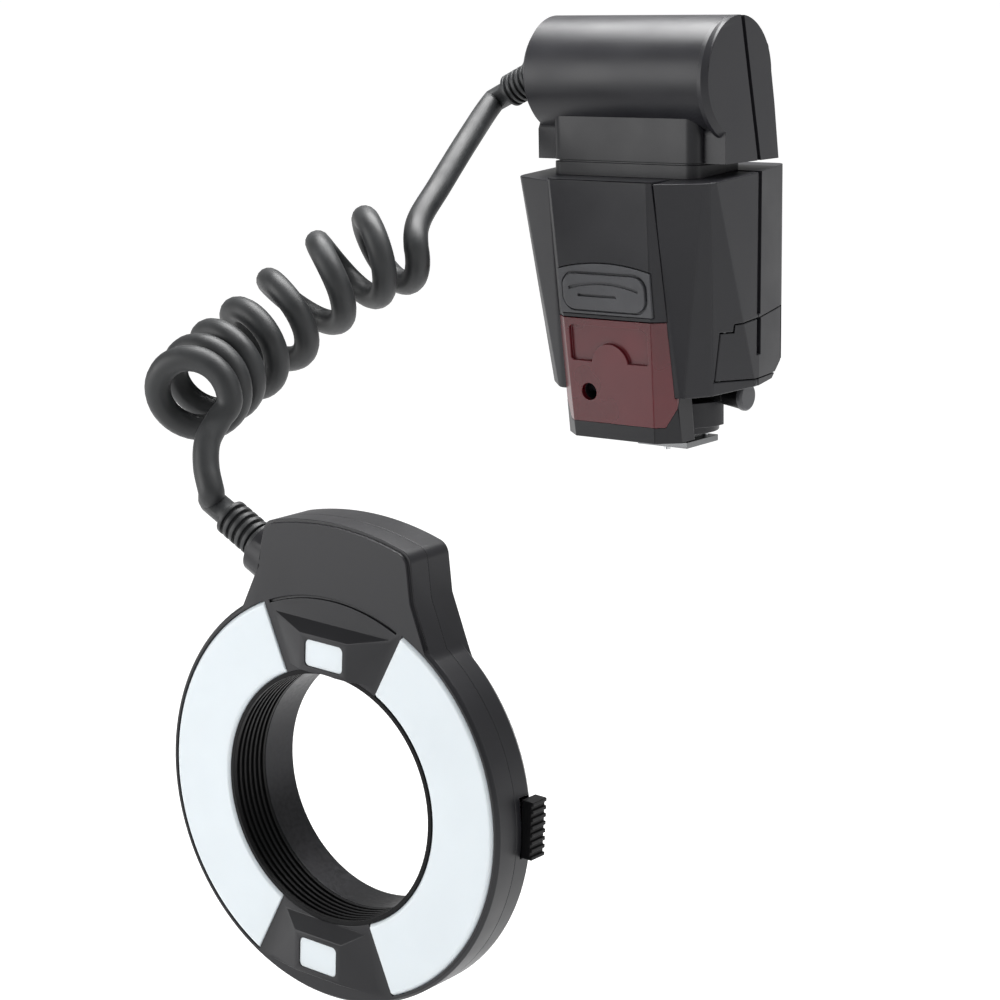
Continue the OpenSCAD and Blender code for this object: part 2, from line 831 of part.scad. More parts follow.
module ring_screws() color("#1f2022") {
    at_ring() for (a = post_a) rotate([0, 0, a]) translate([post_r, 0, 0.1]) {
        cylinder(r = 1.8, h = 0.9);
        cylinder(r = 0.9, h = 4);
    }
}

// Ridged inner tube on a deck that carries the flash tubes
module baffle_tube() color("#17181a") {
    ridge = 1.9;
    at_ring() rotate_extrude($fn = 160) difference() {
        union() {
            translate([bore_r, deck_z]) square([tube_r - bore_r, ring_d - deck_z]);
            translate([bore_r, deck_z]) square([lit_r - 2.6 - bore_r, deck_t]);
        }
        for (i = [0:5]) translate([bore_r - 0.1, deck_z + 0.9 + i * ridge]) square([0.8, 1.1]);
    }
}

module reflector(a) {
    a0 = a + 1;
    a1 = a + 179 - 2 * bridge_a;
    z0 = deck_z + deck_t;
    difference() {
        sector(tube_r + 3.4, lit_r - 1.8, z0, pocket_z, a0, a1);
        sector(tube_r + 4.2, lit_r - 2.6, z0 + 0.8, pocket_z + 1, a0 + 2, a1 - 2);
    }
}

module flash_tube(a) {
    rotate([0, 0, a + 3]) rotate_extrude(angle = 174 - 2 * bridge_a, $fn = 96)
        translate([(tube_r + lit_r) / 2 + 0.8, 10]) circle(r = 2, $fn = 24);
}

module diffuser(a) {
    rotate([0, 0, a]) rotate_extrude(angle = 180 - 2 * bridge_a, $fn = 160)
        polygon([[tube_r, pocket_z], [lit_r, pocket_z], [lit_r, ring_d - 0.6], [lit_r - 1, ring_d + 0.4],
            [tube_r + 1, ring_d + 0.4], [tube_r, ring_d - 0.6]]);
}

module right_diffuser() color("#e8eef2") {
    at_ring() diffuser(bridge_a - 90);
}

module left_diffuser() color("#e8eef2") {
    at_ring() diffuser(bridge_a + 90);
}

module right_reflector() color("#c9ccd0") {
    at_ring() reflector(bridge_a - 90);
}

module left_reflector() color("#c9ccd0") {
    at_ring() reflector(bridge_a + 90);
}

module right_flash_tube() color("#e6e9ee") {
    at_ring() flash_tube(bridge_a - 90);
}

module left_flash_tube() color("#e6e9ee") {
    at_ring() flash_tube(bridge_a + 90);
}

module lamp_window(p) {
    at_ring() translate([p[0], p[1], pocket_z]) linear_extrude(ring_d + bridge_h - 0.3 - pocket_z)
        round_rect(p[2], p[3], 1.4);
}

module top_lamp_window() color("#eef3f5") {
    lamp_window(top_lamp);
}

module low_lamp_window() color("#eef3f5") {
    lamp_window(low_lamp);
}

module lamp_bulbs() color("#f2ead2") {
    for (p = [top_lamp, low_lamp]) at_ring() translate([p[0], p[1], deck_z + deck_t]) {
        cylinder(r = 2.6, h = 2.4);
        cylinder(r = 1.5, h = 5);
    }
}

module trigger_board() color("#1f5a3c") {
    at_ring() translate([-17, ring_r + 3.4, 5]) cube([34, 10, 1.6]);
}

module cord_gland_ring() color("#232425") {
    at_ring() translate([boss_at[0], boss_at[1], seam_z]) rotate([0, 0, boss_a]) rotate([0, 90, 0])
        translate([0, 0, boss_l]) gland(ring_gland_l, 5);
}

// Press button of the right side: chamfered block with ribs on its end
module press_button() {
    ribs = 7;
    step = (button_y[1] - button_y[0] - 1) / ribs;
    difference() {
        translate([button_x, button_y[0], 1.7]) cube([button_t, button_y[1] - button_y[0], 5.9]);
        for (i = [0:ribs - 1]) translate([button_x + button_t - 0.6, button_y[0] + 1 + i * step, 0])
            cube([2, step / 2, 20]);
    }
}

// Claw plate of the right button: half ring with a tab, a claw across the opening and a spring lug
module claw_plate(level) {
    reach = 12;
    translate([0, 0, claw_z[level]]) linear_extrude(claw_t) {
        difference() {
            intersection() {
                circle(r = claw_out, $fn = 144);
                polygon([[0, 0], [-80 * cos(reach), 80 * sin(reach)], [-80, -80], [80, -80],
                    [80 * cos(reach), 80 * sin(reach)]]);
            }
            circle(r = claw_in, $fn = 144);
        }
        translate([claw_in + 3, -1]) square([button_x - claw_in - 3, 9]);
        translate([-claw_in - 1.5, -2]) square([claw_in + 1.5 - claw_tip, 6]);
        translate([spring_l - spring_seat, spring_y - lug_w / 2]) square([4, lug_w]);
    }
}

module claw_spring(level) {
    translate([-spring_seat, spring_y, claw_z[level] + claw_t / 2]) rotate([0, 90, 0]) difference() {
        cylinder(r = 0.8, h = spring_l);
        translate([0, 0, -1]) cylinder(r = 0.45, h = spring_l + 2);
    }
}

module right_release_button() color("#161718") {
    at_ring() press_button();
}

module left_release_button() color("#161718") {
    at_ring() mirror([1, 0, 0]) press_button();
}

module right_claw_plate() color("#9a9da1") {
    at_ring() claw_plate(0);
}

module left_claw_plate() color("#9a9da1") {
    at_ring() mirror([1, 0, 0]) claw_plate(1);
}

module right_claw_spring() color("#b5b8bb") {
    at_ring() claw_spring(0);
}

module left_claw_spring() color("#b5b8bb") {
    at_ring() mirror([1, 0, 0]) claw_spring(1);
}

module adapter_ring() color("#2b2c2e") {
    grip = collar_r + 2.6;
    neck = collar_r - 1.8;
    lip = collar_r - 0.4;
    at_ring() difference() {
        rotate_extrude($fn = 160) polygon([[bore_r, -6.7], [thread_d / 2, -6.7], [thread_d / 2, -3.2],
            [grip, -3.2], [grip, -0.3], [collar_r, -0.3], [collar_r, 1.5], [neck, 1.5], [neck, 4.4],
            [lip, 4.4], [lip, 5], [bore_r, 5]]);
        for (i = [0:35]) rotate([0, 0, i * 10]) translate([grip + 0.4, 0, -3.3])
            cylinder(r = 0.8, h = 3.1, $fn = 16);
    }
}

// Cord: leads as smooth curves through hand-set points, curls as a left-handed helix along an axis

upper_lead = [[-46.5, -45.5, 96.5], [-42.5, -65, 84], [-39, -79.5, 75]];
curl_axis = [[-44.5, -81, 68], [-49.5, -90, 64.5], [-57, -102, 57.5], [-62.5, -115, 48], [-64.5, -127.5, 41],
    [-65, -139, 36], [-62.5, -149.5, 33], [-58, -159, 31]];
lower_lead = [[-49.5, -157, 26], [-49.5, -162, 20.5], [-47.5, -165, 14], [-44.5, -166.5, 7.5]];
cord_sides = 10;
steps = 20;

// Smooth curve through points a, b, c, d between b and c
function glide(a, b, c, d, t) = 0.5 * (2 * b + (c - a) * t + (2 * a - 5 * b + 4 * c - d) * t * t
    + (3 * b - a - 3 * c + d) * t * t * t);
function pick(p, i) = i < 0 ? 2 * p[0] - p[1] : i >= len(p) ? 2 * p[len(p) - 1] - p[len(p) - 2] : p[i];
function axis_at(u) = let (k = min(floor(u), len(curl_axis) - 2))
    glide(pick(curl_axis, k - 1), curl_axis[k], curl_axis[k + 1], pick(curl_axis, k + 2), u - k);
function axis_dir(u) = unit(axis_at(min(u + 0.01, len(curl_axis) - 1)) - axis_at(max(u - 0.01, 0)));
// Curl n from the head, wound along the axis
function curl_u(n) = (len(curl_axis) - 1) * n / curls;
function curl_at(n) = let (u = curl_u(n), t = axis_dir(u), up = unit([0, 0, 1] - t[2] * t), w = cross(t, up))
    axis_at(u) + curl_r * (cos(-90 - 360 * n) * up + sin(-90 - 360 * n) * w);
// Points of a run from a straight start to a heading at the end
function run_pts(p, n) = [for (i = [1:len(p) - 3], k = [0:n - 1])
    glide(p[i - 1], p[i], p[i + 1], p[i + 2], k / n)];

head_dir = [-cos(gland_tilt), 0, -sin(gland_tilt)];
cord_start = head_gland + gland_l * head_dir;
cord_a = cord_start + cord_d * head_dir;
ring_end_l = boss_l + ring_gland_l;
cord_end = ring_pt([boss_at[0] + ring_end_l * cos(boss_a), boss_at[1] + ring_end_l * sin(boss_a), seam_z]);
ring_dir = ring_pt([cos(boss_a), sin(boss_a), 0]) - ring_pt([0, 0, 0]);
cord_b = cord_end + cord_d * ring_dir;
// Headings of the two ends of the curls
first_dir = curl_at(0.02) - curl_at(0);
last_dir = curl_at(curls) - curl_at(curls - 0.02);

cord_path = concat([cord_start, cord_start + 0.5 * cord_d * head_dir],
    run_pts(concat([cord_start], [cord_a], upper_lead, [curl_at(0), curl_at(0) + 8 * first_dir]), 6),
    [for (i = [0:curls * steps]) curl_at(i / steps)],
    [for (i = [1:4 * 6 - 1])
        let (p = concat([curl_at(curls) - 8 * last_dir, curl_at(curls)], lower_lead, [cord_b, cord_end]))
        let (k = floor(i / 6)) glide(p[k], p[k + 1], p[k + 2], p[k + 3], i / 6 - k)],
    [for (k = [0:5]) let (p = lower_lead) glide(p[2], p[3], cord_b, cord_end, k / 6)],
    [cord_b, cord_end + 0.5 * cord_d * ring_dir, cord_end]);
cord_n = len(cord_path);
cord_t = [for (i = [0:cord_n - 1]) i == 0 ? head_dir : i == cord_n - 1 ? -ring_dir
    : unit(cord_path[i + 1] - cord_path[i - 1])];
function carry(v, t) = unit(v - (v * t) * t);
cord_u = [for (i = 0, v = carry([0, 1, 0], cord_t[0]); i < cord_n; i = i + 1,
    v = i < cord_n ? carry(v, cord_t[i]) : v) v];
cord_points = [for (i = [0:cord_n - 1], k = [0:cord_sides - 1]) let (a = 360 * k / cord_sides)
    cord_path[i] + cord_d / 2 * (cos(a) * cord_u[i] + sin(a) * cross(cord_t[i], cord_u[i]))];
cord_faces = concat(
    [for (i = [0:cord_n - 2], k = [0:cord_sides - 1]) let (j = (k + 1) % cord_sides, b = i * cord_sides)
        [b + k, b + cord_sides + k, b + cord_sides + j]],
    [for (i = [0:cord_n - 2], k = [0:cord_sides - 1]) let (j = (k + 1) % cord_sides, b = i * cord_sides)
        [b + k, b + cord_sides + j, b + j]],
    [for (k = [1:cord_sides - 2]) [0, k, k + 1]],
    [for (k = [1:cord_sides - 2]) let (b = (cord_n - 1) * cord_sides) [b, b + k + 1, b + k]]);
function sum(v, i = 0) = i >= len(v) ? 0 : v[i] + sum(v, i + 1);
cord_length = sum([for (i = [0:cord_n - 2]) norm(cord_path[i + 1] - cord_path[i])]);
cord_gap = min([for (i = [0:cord_n - 1], j = [i + 16:1:cord_n - 1])
    norm(cord_path[i] - cord_path[j])]) - cord_d;
echo(cord_length = cord_length, cord_gap = cord_gap, rings = cord_n);

module coiled_cord() color("#2a2b2d") {
    polyhedron(points = cord_points, faces = cord_faces, convexity = 10);
}

body_front_shell();
body_back_shell();
front_spine();
grey_panel();
red_window();
focus_lamp();
battery_door();
door_pin();
battery_pack();
battery_tray();
control_board();
display_panel();
display_window();
light_button();
mode_button();
select_button();
lamp_button();
minus_button();
plus_button();
test_button();
power_switch();
head_front_shell();
head_back_shell();
neck_collar();
flash_capacitor();
cord_gland_head();
foot_base();
shoe_foot();
foot_screws();
contact_pins();
lock_pin();
lock_lever();
knob_cap();
housing_screws();
ring_front_shell();
ring_back_shell();
ring_screws();
baffle_tube();
right_diffuser();
left_diffuser();
right_reflector();
left_reflector();
right_flash_tube();
left_flash_tube();
top_lamp_window();
low_lamp_window();
lamp_bulbs();
trigger_board();
cord_gland_ring();
right_release_button();
left_release_button();
right_claw_plate();
left_claw_plate();
right_claw_spring();
left_claw_spring();
adapter_ring();
coiled_cord();
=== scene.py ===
import json
from math import atan2, cos, pi, radians, sin, tau

import bmesh
import bpy
from bpy.props import FloatProperty, FloatVectorProperty, IntProperty, PointerProperty
from mathutils import Matrix, Vector


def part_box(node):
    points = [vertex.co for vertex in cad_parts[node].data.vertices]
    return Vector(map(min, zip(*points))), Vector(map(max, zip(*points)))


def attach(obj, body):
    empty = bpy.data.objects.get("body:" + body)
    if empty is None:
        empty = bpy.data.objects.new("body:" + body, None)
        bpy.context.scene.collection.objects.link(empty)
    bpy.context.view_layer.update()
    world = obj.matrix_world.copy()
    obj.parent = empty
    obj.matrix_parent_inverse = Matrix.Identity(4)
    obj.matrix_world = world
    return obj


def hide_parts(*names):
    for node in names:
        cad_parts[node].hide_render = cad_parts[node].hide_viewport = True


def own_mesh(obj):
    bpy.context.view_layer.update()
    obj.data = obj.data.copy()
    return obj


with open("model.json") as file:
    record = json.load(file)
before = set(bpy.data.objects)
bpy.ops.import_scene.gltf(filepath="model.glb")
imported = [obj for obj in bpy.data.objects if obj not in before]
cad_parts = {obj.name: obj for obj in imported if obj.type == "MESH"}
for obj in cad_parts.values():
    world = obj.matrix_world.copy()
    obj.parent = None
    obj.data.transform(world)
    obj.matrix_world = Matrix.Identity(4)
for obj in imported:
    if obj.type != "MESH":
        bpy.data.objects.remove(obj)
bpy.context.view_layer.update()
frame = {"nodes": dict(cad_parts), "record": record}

bl_info = {
    "name": "Macro Ring Flash",
    "version": (1, 0, 0),
    "blender": (4, 5, 0),
    "location": "View3D > Sidebar > Ring Flash",
    "description": "Dresses a macro ring flash: housings, curly cord, lit ring and studio stage",
    "category": "Object",
}

MM = 0.001
# Vertices closer than this are one
WELD = 2e-6
# Edges sharper than this are rounded
CREASE = radians(33)
EDGE_SEGMENTS = 3
# Faces that turn less than this are one
FLAT = radians(0.5)
BODY_NODES = frame["record"]["behaviour"]["bodies"]
BODY_OF = {node: body for body, nodes in BODY_NODES.items() for node in nodes}
SLOT_OF = {part["node"]: part["material_slot"] for part in frame["record"]["subparts"]}
# Relief of the finishes, from lowest to highest
DRAWN_DEPTH = 0.04 * MM
FROST_DEPTH = 0.05 * MM
GRAIN_DEPTH = 0.06 * MM
# Part of a noise's range that a finish makes use of
NOISE_LOW = 0.3
NOISE_HIGH = 0.7
# Pointiness at which the lightening of a ridge, wear and a painted highlight, starts and is full
RIDGE_START = 0.53
RIDGE_FULL = 0.62
WHITE = (1.0, 1.0, 1.0, 1.0)
BLACK = (0.0, 0.0, 0.0, 1.0)


def colour_property(name, text, rgb):
    """A colour setting with an opaque default."""
    return FloatVectorProperty(name=name, description=text, default=(*rgb, 1.0), size=4,
                               min=0.0, max=1.0, subtype="COLOR")


def length_property(name, text, metres):
    """A length setting in metres."""
    return FloatProperty(name=name, description=text, default=metres, min=0.0, unit="LENGTH",
                         precision=5)


class RingFlashSizes(bpy.types.PropertyGroup):
    """Sizes that shape the dressed pieces."""

    housing_edge: length_property(
        "Housing Edge", "Edge radius of spine, front shell and diffusers", 0.4 * MM)
    small_edge: length_property(
        "Small Edge", "Edge radius of ring shells, controls and fittings", 0.2 * MM)
    fine_edge: length_property(
        "Fine Edge", "Edge radius of back shell, collar, panel and baffle, twice the head's", 0.12 * MM)
    cord_diameter: length_property("Cord Diameter", "Diameter of the curly cord", 7.4 * MM)
    curl_radius: length_property("Curl Radius", "Mean radius of a curl of the cord", 11.3 * MM)
    curls: IntProperty(name="Curls", description="Number of curls in the cord",
                       default=7, min=1, max=12)


class RingFlashColours(bpy.types.PropertyGroup):
    """Colours of the finishes."""

    housing: colour_property("Housing", "Charcoal moulded plastic", (0.012, 0.012, 0.0145))
    trim: colour_property("Trim", "Grey plastic of the front panel", (0.062, 0.063, 0.068))
    black: colour_property("Black", "Black plastic of knobs and buttons", (0.0035, 0.0035, 0.004))
    rubber: colour_property("Rubber", "Dark rubber of the cord", (0.016, 0.017, 0.018))
    red: colour_property("Red Window", "Dark red lamp window", (0.105, 0.004, 0.009))
    amber: colour_property("Amber", "Amber lit button", (0.42, 0.17, 0.02))
    opal: colour_property("Opal", "Bluish white diffusers", (0.63, 0.68, 0.71))
    steel: colour_property("Steel", "Steel pins, plates and springs", (0.56, 0.57, 0.58))
    gold: colour_property("Gold", "Plated contacts", (0.83, 0.60, 0.26))
    board: colour_property("Board", "Dark solder mask of the boards", (0.006, 0.012, 0.009))
    display: colour_property("Display", "Display behind its window", (0.20, 0.25, 0.17))
    smoked: colour_property("Smoked Window", "Window over the display", (0.22, 0.24, 0.25))
    battery: colour_property("Battery", "Wrap of the battery pack", (0.018, 0.030, 0.055))
    sleeve: colour_property("Sleeve", "Sleeve of the capacitor", (0.012, 0.013, 0.016))
    reflector: colour_property("Reflector", "Bright reflectors", (0.82, 0.83, 0.85))
    tube: colour_property("Tube", "Glass of the flash tubes", (0.96, 0.97, 1.0))
    anodised: colour_property("Anodised", "Black anodised metal", (0.030, 0.030, 0.032))
    backdrop: colour_property("Backdrop", "Floor before its own glow is added", (0.42, 0.42, 0.42))


class RingFlashStage(bpy.types.PropertyGroup):
    """View and light."""

    azimuth: FloatProperty(name="Azimuth", description="Turn of the camera round the foot",
                           default=radians(37.25), subtype="ANGLE")
    elevation: FloatProperty(name="Elevation", description="Height angle of the camera",
                             default=radians(11.5), subtype="ANGLE")
    roll: FloatProperty(name="Roll", description="Roll of the camera",
                        default=radians(1.0), subtype="ANGLE")
    distance: length_property("Distance", "Distance from the camera to the foot", 825.4 * MM)
    lens: FloatProperty(name="Lens", description="Focal length on a 36 mm sensor", default=93.6,
                        unit="CAMERA")
    floor_level: FloatProperty(name="Floor Level", description="Height of the floor, from the foot",
                               default=-0.150, unit="LENGTH")
    floor_glow: FloatProperty(name="Floor Glow", description="Light that the floor gives off",
                              default=0.82, min=0.0)
    daylight: FloatProperty(name="Daylight", description="Strength of the even surrounding light",
                            default=0.45, min=0.0)


class RingFlashSettings(bpy.types.PropertyGroup):
    """All settings of the ring flash."""

    sizes: PointerProperty(type=RingFlashSizes)
    colours: PointerProperty(type=RingFlashColours)
    stage: PointerProperty(type=RingFlashStage)


def settings():
    """The settings kept on the scene."""
    return bpy.context.scene.ring_flash


# Materials

def blank_material(name):
    """A new material with its node tree and shader."""
    material = bpy.data.materials.new(name)
    material.use_nodes = True
    tree = material.node_tree
    shader = next(n for n in tree.nodes if n.type == "BSDF_PRINCIPLED")
    return material, tree, shader


def add(tree, kind, **values):
    """A new node with its settings and unlinked inputs."""
    node = tree.nodes.new(kind)
    for key, value in values.items():
        if hasattr(node, key):
            setattr(node, key, value)
        else:
            node.inputs[key.replace("_", " ")].default_value = value
    return node


def noise(tree, scale, detail, stretch=(1.0, 1.0, 1.0)):
    """Noise over the piece's own coordinates, with its scale per metre."""
    place = add(tree, "ShaderNodeTexCoord")
    mapping = add(tree, "ShaderNodeMapping")
    mapping.inputs["Scale"].default_value = stretch
    texture = add(tree, "ShaderNodeTexNoise", Scale=scale, Detail=detail)
    tree.links.new(place.outputs["Object"], mapping.inputs["Vector"])
    tree.links.new(mapping.outputs["Vector"], texture.inputs["Vector"])
    return texture.outputs["Fac"]


def ramp(tree, factor, low, high, start=NOISE_LOW, end=NOISE_HIGH):
    """A colour between low and high as a factor goes from start to end."""
    node = add(tree, "ShaderNodeValToRGB")
    first, last = node.color_ramp.elements
    first.position = start
    first.color = low
    last.position = end
    last.color = high
    tree.links.new(factor, node.inputs["Fac"])
    return node.outputs["Color"]


def spread(tree, factor, low, high):
    """A number between low and high that follows a noise factor."""
    node = add(tree, "ShaderNodeMapRange")
    node.inputs["From Min"].default_value = NOISE_LOW
    node.inputs["From Max"].default_value = NOISE_HIGH
    node.inputs["To Min"].default_value = low
    node.inputs["To Max"].default_value = high
    tree.links.new(factor, node.inputs["Value"])
    return node.outputs["Result"]


def tint(colour, gain):
    """A colour made lighter or darker."""
    return (*(min(1.0, channel * gain) for channel in colour[:3]), 1.0)


def tone(tree, shader, factor, colour, darkest, lightest):
    """Gives a shader a colour that varies with a noise factor between two gains."""
    varied = ramp(tree, factor, tint(colour, darkest), tint(colour, lightest))
    tree.links.new(varied, shader.inputs["Base Color"])
    return varied


def roughen(tree, shader, factor, smoothest, roughest):
    """Gives a shader a roughness that varies with a noise factor."""
    tree.links.new(spread(tree, factor, smoothest, roughest), shader.inputs["Roughness"])


def bump(tree, shader, height, strength, depth):
    """Relief from a height factor."""
    node = add(tree, "ShaderNodeBump", Strength=strength, Distance=depth)
    tree.links.new(height, node.inputs["Height"])
    tree.links.new(node.outputs["Normal"], shader.inputs["Normal"])


def worn_and_highlit_edges(tree, colour_socket, gain):
    """Lightens a colour along the ridges of the mesh, as wear and as a painted highlight."""
    shape = add(tree, "ShaderNodeNewGeometry")
    ridge = shape.outputs["Pointiness"]
    # Ridges lightened: partly rubbed wear, partly a painted edge highlight
    edge = ramp(tree, ridge, BLACK, tint(WHITE, gain), RIDGE_START, RIDGE_FULL)
    mix = add(tree, "ShaderNodeMix", data_type="RGBA", blend_type="ADD")
    mix.inputs["Factor"].default_value = 1.0
    tree.links.new(colour_socket, mix.inputs["A"])
    tree.links.new(edge, mix.inputs["B"])
    return mix.outputs["Result"]


def moulded_plastic(name, colour, gloss=(0.34, 0.44), grain=0.10, wear_and_highlight=0.008, shine=0.32):
    """Moulded plastic with a spark-eroded grain, and faint wear and a painted highlight on its edges."""
    material, tree, shader = blank_material(name)
    shader.inputs["Specular IOR Level"].default_value = shine
    cloud = noise(tree, scale=60.0, detail=3.0)
    varied = ramp(tree, cloud, tint(colour, 0.90), tint(colour, 1.12))
    # Edges lightened by wear and by a painted highlight
    tree.links.new(worn_and_highlit_edges(tree, varied, wear_and_highlight), shader.inputs["Base Color"])
    roughen(tree, shader, cloud, *gloss)
    bump(tree, shader, noise(tree, scale=2600.0, detail=1.0), strength=grain, depth=GRAIN_DEPTH)
    return material


def cord_rubber(name, colour):
    """Rubber skin of the cord, with a dusty bloom and a fine grain."""
    material, tree, shader = blank_material(name)
    cloud = noise(tree, scale=140.0, detail=4.0)
    tone(tree, shader, cloud, colour, darkest=0.8, lightest=1.3)
    roughen(tree, shader, cloud, smoothest=0.42, roughest=0.56)
    shader.inputs["Specular IOR Level"].default_value = 0.4
    bump(tree, shader, noise(tree, scale=1800.0, detail=2.0), strength=0.12, depth=GRAIN_DEPTH)
    return material


def tinted_acrylic(name, colour):
    """Satin tinted acrylic that lets some light through."""
    material, tree, shader = blank_material(name)
    cloud = noise(tree, scale=45.0, detail=2.0)
    tone(tree, shader, cloud, colour, darkest=0.8, lightest=1.2)
    roughen(tree, shader, cloud, smoothest=0.24, roughest=0.32)
    shader.inputs["Transmission Weight"].default_value = 0.25
    shader.inputs["Coat Weight"].default_value = 0.15
    shader.inputs["Coat Roughness"].default_value = 0.08
    return material


def opal_acrylic(name, colour):
    """Milky acrylic of the diffusers, finely frosted."""
    material, tree, shader = blank_material(name)
    cloud = noise(tree, scale=30.0, detail=2.0)
    tone(tree, shader, cloud, colour, darkest=0.97, lightest=1.02)
    roughen(tree, shader, cloud, smoothest=0.30, roughest=0.38)
    shader.inputs["Subsurface Weight"].default_value = 0.25
    shader.inputs["Subsurface Radius"].default_value = (0.9, 1.0, 1.1)
    shader.inputs["Subsurface Scale"].default_value = 0.004
    bump(tree, shader, noise(tree, scale=1500.0, detail=1.0), strength=0.06, depth=FROST_DEPTH)
    return material


def lit_display(name, colour):
    """Display with a faint green glow like a backlight: a painted glow that stands in for the light
    reaching it through the smoked window.
    """
    material, tree, shader = blank_material(name)
    cloud = noise(tree, scale=90.0, detail=2.0)
    varied = tone(tree, shader, cloud, colour, darkest=0.94, lightest=1.06)
    tree.links.new(varied, shader.inputs["Emission Color"])
    roughen(tree, shader, cloud, smoothest=0.16, roughest=0.24)
    # Painted glow: the display gives off light in place of the light that the smoked window keeps from it
    shader.inputs["Emission Strength"].default_value = 1.0
    return material


def bare_metal(name, colour, gloss=(0.24, 0.36), stretch=(1.0, 1.0, 1.0)):
    """Metal with a fine grain, drawn out where the noise is stretched."""
    material, tree, shader = blank_material(name)
    lines = noise(tree, scale=900.0, detail=3.0, stretch=stretch)
    tone(tree, shader, lines, colour, darkest=0.88, lightest=1.08)
    roughen(tree, shader, lines, *gloss)
    shader.inputs["Metallic"].default_value = 1.0
    bump(tree, shader, lines, strength=0.06, depth=DRAWN_DEPTH)
    return material


def clear_glass(name, colour, rough):
    """Clear tubes and windows with a faint smear."""
    material, tree, shader = blank_material(name)
    cloud = noise(tree, scale=120.0, detail=2.0)
    tone(tree, shader, cloud, colour, darkest=0.96, lightest=1.0)
    roughen(tree, shader, cloud, smoothest=rough, roughest=rough + 0.06)
    shader.inputs["Transmission Weight"].default_value = 0.85
    shader.inputs["IOR"].default_value = 1.47
    return material


def circuit_board(name, colour):
    """Solder-masked board with a pattern of tracks."""
    material, tree, shader = blank_material(name)
    place = add(tree, "ShaderNodeTexCoord")
    tracks = add(tree, "ShaderNodeTexBrick", Scale=260.0, Mortar_Size=0.04)
    tracks.inputs["Color1"].default_value = colour
    tracks.inputs["Color2"].default_value = tint(colour, 1.25)
    tracks.inputs["Mortar"].default_value = tint(colour, 1.9)
    tree.links.new(place.outputs["Object"], tracks.inputs["Vector"])
    tree.links.new(tracks.outputs["Color"], shader.inputs["Base Color"])
    roughen(tree, shader, noise(tree, scale=300.0, detail=2.0), smoothest=0.3, roughest=0.42)
    return material


def make_finishes():
    """Every finish of the flash, by the name of its material slot."""
    colours = settings().colours
    charcoal = tuple(colours.housing)
    satin = (0.26, 0.34)
    return {
        "housing": moulded_plastic("charcoal_housing", charcoal),
        "dark_plastic": moulded_plastic("dark_housing", tint(charcoal, 0.8)),
        "grey_plastic": moulded_plastic("grey_trim", colours.trim, gloss=(0.32, 0.42), grain=0.08),
        "red_lens": tinted_acrylic("red_acrylic", colours.red),
        "lamp_amber": tinted_acrylic("amber_acrylic", colours.amber),
        "black_plastic": moulded_plastic("black_plastic", colours.black, gloss=(0.36, 0.48), grain=0.08,
                                         wear_and_highlight=0.004, shine=0.12),
        "steel": bare_metal("bright_steel", colours.steel),
        "foot_metal": bare_metal("foot_metal", tint(colours.steel, 0.30), gloss=(0.30, 0.42),
                                 stretch=(1.0, 0.08, 1.0)),
        "gold": bare_metal("plated_contact", colours.gold, gloss=(0.18, 0.28)),
        "board": circuit_board("circuit_board", tuple(colours.board)),
        "lcd": lit_display("display_glass", colours.display),
        "smoked": clear_glass("smoked_window", colours.smoked, rough=0.04),
        "battery": moulded_plastic("battery_wrap", colours.battery, gloss=satin, grain=0.03),
        "sleeve": moulded_plastic("capacitor_sleeve", colours.sleeve, gloss=satin, grain=0.03),
        "cord_rubber": cord_rubber("cord_rubber", colours.rubber),
        "white_diffuser": opal_acrylic("opal_diffuser", colours.opal),
        "reflector": bare_metal("bright_reflector", colours.reflector, gloss=(0.10, 0.18)),
        "tube_glass": clear_glass("flash_tube_glass", colours.tube, rough=0.02),
        "black_metal": bare_metal("black_anodised", colours.anodised, gloss=(0.34, 0.46)),
    }


FINISH = {}


def finish_of(slot):
    """The finish of a material slot, made once."""
    if not FINISH:
        FINISH.update(make_finishes())
    return FINISH[slot]


# Pieces

def place_piece(name, data, body, slot, *nodes):
    """A finished piece on its body, standing for CAD nodes."""
    piece = bpy.data.objects.new(name, data)
    bpy.context.scene.collection.objects.link(piece)
    data.materials.append(finish_of(slot))
    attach(piece, body)
    if nodes:
        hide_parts(*nodes)
    return piece


def round_edges(piece, width):
    """Rounds the sharp edges of a piece, and keeps its flat faces flat."""
    bevel = piece.modifiers.new("edge_round", "BEVEL")
    bevel.width = width
    bevel.segments = EDGE_SEGMENTS
    bevel.limit_method = "ANGLE"
    bevel.angle_limit = CREASE
    bevel.use_clamp_overlap = False
    bevel.loop_slide = False
    bevel.profile = 0.5
    bevel.material = -1
    even = piece.modifiers.new("even_faces", "WEIGHTED_NORMAL")
    even.mode = "FACE_AREA"
    even.keep_sharp = True


def dress(node, edge, join_flats=False):
    """A welded copy of a CAD node with rounded edges and its finish, which stands for the node."""
    mesh = bpy.data.meshes.new(node + "_skin")
    bm = bmesh.new()
    bm.from_mesh(frame["nodes"][node].data)
    bmesh.ops.remove_doubles(bm, verts=bm.verts, dist=WELD)
    if join_flats:
        bmesh.ops.dissolve_limit(bm, angle_limit=FLAT, verts=bm.verts, edges=bm.edges)
    for face in bm.faces:
        face.smooth = True
    bm.to_mesh(mesh)
    bm.free()
    piece = place_piece(node + "_skin", mesh, BODY_OF[node], SLOT_OF[node], node)
    round_edges(piece, edge)


def paint(*nodes):
    """Gives CAD nodes that stay as they are the finish of their slot."""
    for node in nodes:
        materials = frame["nodes"][node].data.materials
        materials.clear()
        materials.append(finish_of(SLOT_OF[node]))
